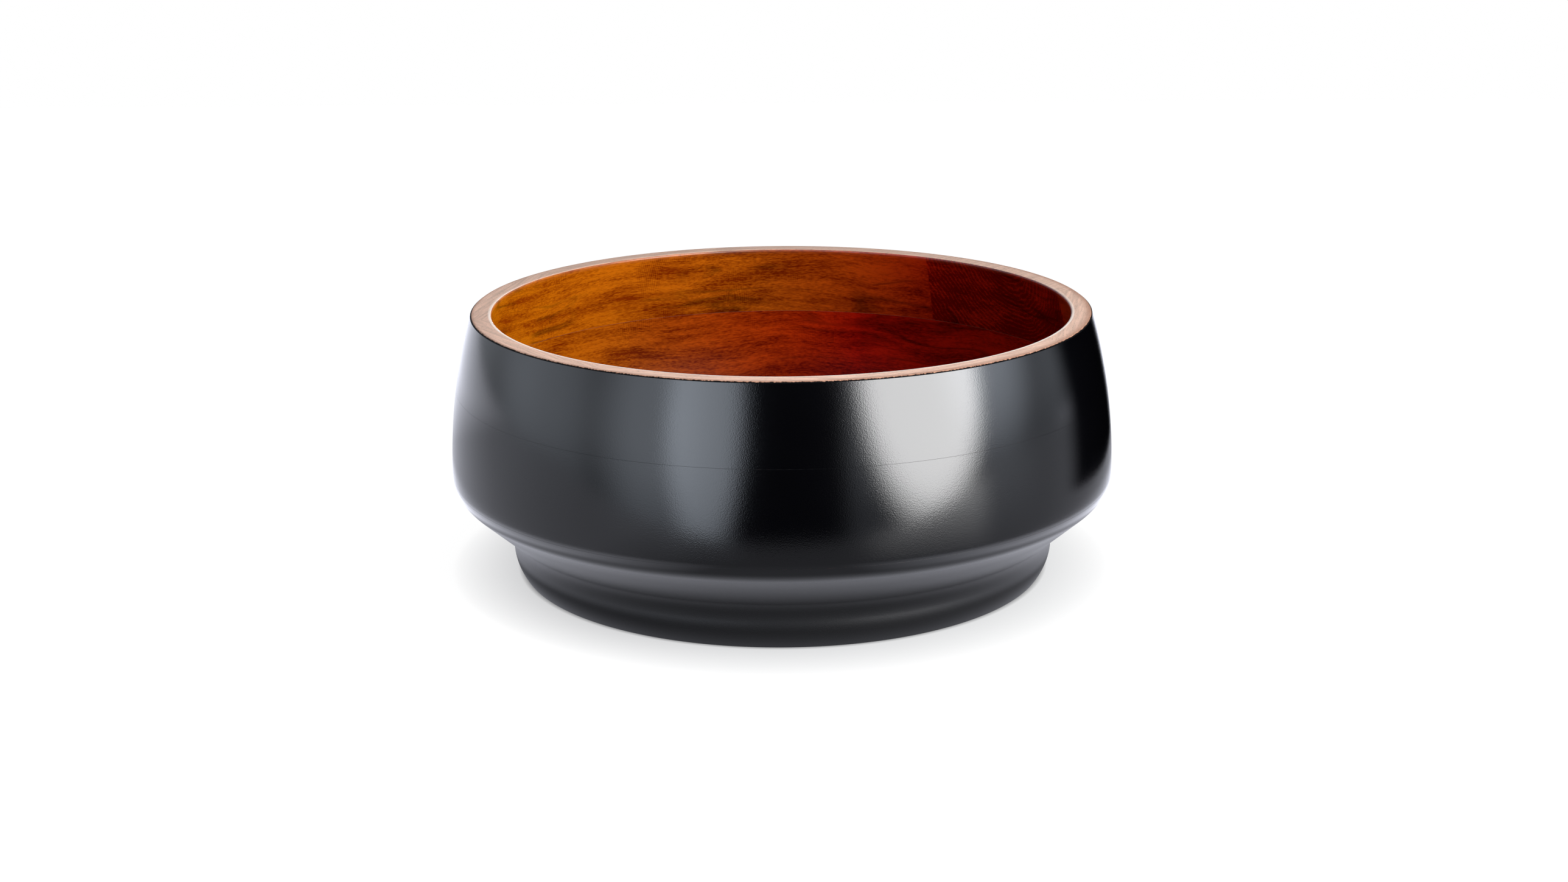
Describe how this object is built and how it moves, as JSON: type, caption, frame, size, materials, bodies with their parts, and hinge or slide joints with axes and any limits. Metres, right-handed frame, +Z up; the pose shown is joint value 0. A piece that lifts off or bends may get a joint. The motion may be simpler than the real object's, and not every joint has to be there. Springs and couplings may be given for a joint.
{
  "type": "salad bowl",
  "caption": "Round wooden salad bowl with a wide rounded shoulder, coved foot, flat bare rim, varnished inside and black lacquered outside, turned from glued-up courses.",
  "frame": {"origin": "centre of the foot's rest face", "axes": "+Z up along the axis the bowl was turned on, -Y towards the picture's camera, +X to its right, along the base boards"},
  "size_m": [0.2994, 0.2994, 0.1185],
  "materials": {
    "lacquered_wood": "hardwood, black lacquer outside and underneath, satin gloss; clear varnish inside",
    "varnished_wood": "hardwood, clear gloss varnish inside, black lacquer outside",
    "rim_wood": "hardwood, clear gloss varnish inside, bare sanded rim, black lacquer outside"
  },
  "bodies": {
    "root": {"base_board_1": "lacquered_wood", "base_board_2": "lacquered_wood", "base_board_3": "lacquered_wood", "base_board_4": "lacquered_wood", "base_board_5": "lacquered_wood", "wall_segment_1": "varnished_wood", "wall_segment_2": "varnished_wood", "wall_segment_3": "varnished_wood", "wall_segment_4": "varnished_wood", "wall_segment_5": "varnished_wood", "wall_segment_6": "varnished_wood", "wall_segment_7": "varnished_wood", "wall_segment_8": "varnished_wood", "rim_segment_1": "rim_wood", "rim_segment_2": "rim_wood", "rim_segment_3": "rim_wood", "rim_segment_4": "rim_wood", "rim_segment_5": "rim_wood", "rim_segment_6": "rim_wood", "rim_segment_7": "rim_wood", "rim_segment_8": "rim_wood"}
  },
  "joints": []
}
